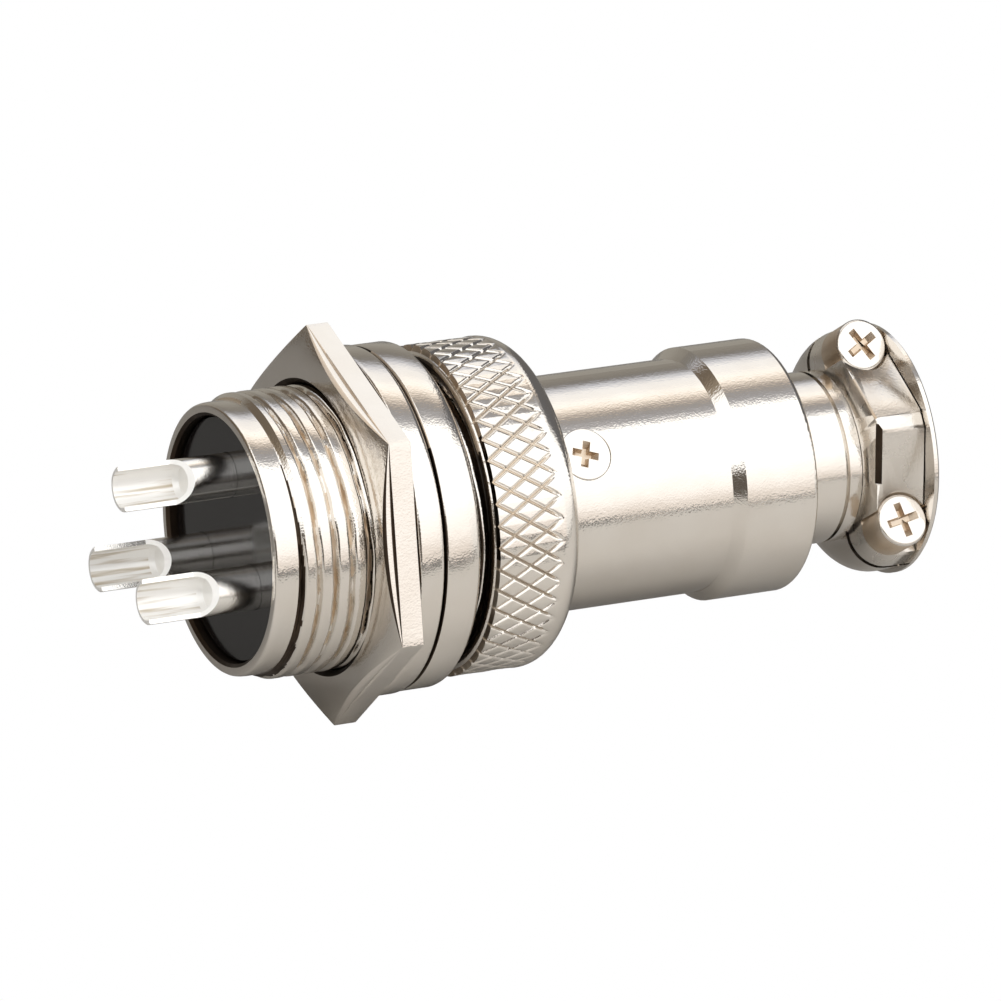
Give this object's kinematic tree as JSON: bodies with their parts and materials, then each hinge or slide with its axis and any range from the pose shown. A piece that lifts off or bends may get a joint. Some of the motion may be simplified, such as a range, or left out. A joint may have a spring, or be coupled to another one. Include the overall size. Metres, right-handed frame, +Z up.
{
  "type": "circular cable connector pair",
  "caption": "Round three-contact power connector: a flanged panel receptacle mated with a cable plug held by a knurled screw ring, with a split cable clamp.",
  "frame": {"origin": "on the common axis, in the face of the flange that seats on the panel", "axes": "+X along the axis from the solder cups to the cable clamp, +Z up through the first contact"},
  "size_m": [0.0468, 0.0208, 0.022],
  "materials": {
    "nickel_shell": "bright nickel plate on brass, slightly uneven",
    "nickel_ring": "bright nickel plate on knurled brass",
    "nickel_hardware": "bright nickel plate on turned brass",
    "screw_steel": "bright zinc-nickel plate",
    "contact_plate": "silver plate on brass, streaked inside the cups",
    "spring_steel": "oiled spring steel",
    "black_moulding": "glossy black thermoset moulding"
  },
  "bodies": {
    "receptacle": {"receptacle_shell": "nickel_shell", "receptacle_insulator": "black_moulding", "contact_pin_1": "contact_plate", "contact_pin_2": "contact_plate", "contact_pin_3": "contact_plate"},
    "washer": {"panel_washer": "nickel_hardware"},
    "nut": {"panel_nut": "nickel_hardware"},
    "plug": {"plug_body": "nickel_shell", "plug_insulator": "black_moulding", "socket_contact_1": "contact_plate", "socket_contact_2": "contact_plate", "socket_contact_3": "contact_plate", "retaining_ring": "spring_steel", "barrel": "nickel_shell", "clamp_neck": "nickel_shell"},
    "ring": {"coupling_ring": "nickel_ring"},
    "set_screw": {"set_screw": "screw_steel"},
    "saddle": {"clamp_saddle": "nickel_shell"},
    "screw_upper": {"clamp_screw_upper": "screw_steel"},
    "screw_lower": {"clamp_screw_lower": "screw_steel"}
  },
  "joints": [
    {"name": "washer_slide", "type": "slide", "parent": "receptacle", "child": "washer", "axis": [-1, 0, 0], "range_m": [0, 0.0038]},
    {"name": "nut_turn", "type": "hinge", "parent": "washer", "child": "nut", "pos_m": [-0.0027, 0, 0], "axis": [-1, 0, 0], "range_deg": [0, 1368]},
    {"name": "plug_slide", "type": "slide", "parent": "receptacle", "child": "plug", "axis": [1, 0, 0], "range_m": [0, 0.004]},
    {"name": "ring_turn", "type": "hinge", "parent": "plug", "child": "ring", "pos_m": [0.0059, 0, 0], "axis": [1, 0, 0], "range_deg": [0, 1440]},
    {"name": "set_screw_turn", "type": "hinge", "parent": "plug", "child": "set_screw", "pos_m": [0.01053, 0, 0], "axis": [0, -0.8192, 0.5736], "range_deg": [0, 360]},
    {"name": "saddle_slide", "type": "slide", "parent": "plug", "child": "saddle", "axis": [0, -0.8704, 0.4924], "range_m": [-0.0003, 0.0014]},
    {"name": "screw_upper_turn", "type": "hinge", "parent": "saddle", "child": "screw_upper", "pos_m": [0.02989, 0.00251, 0.00444], "axis": [0, -0.8704, 0.4924], "range_deg": [-270, 1260]},
    {"name": "screw_lower_turn", "type": "hinge", "parent": "saddle", "child": "screw_lower", "pos_m": [0.02989, -0.00251, -0.00444], "axis": [0, -0.8704, 0.4924], "range_deg": [-270, 1260]}
  ],
  "couplings": [
    {"joint": "nut_turn", "follows": "washer_slide", "rad_per_m": 6283.2},
    {"joint": "ring_turn", "follows": "plug_slide", "rad_per_m": 6283.2},
    {"joint": "screw_upper_turn", "follows": "saddle_slide", "rad_per_m": 15708},
    {"joint": "screw_lower_turn", "follows": "saddle_slide", "rad_per_m": 15708}
  ]
}
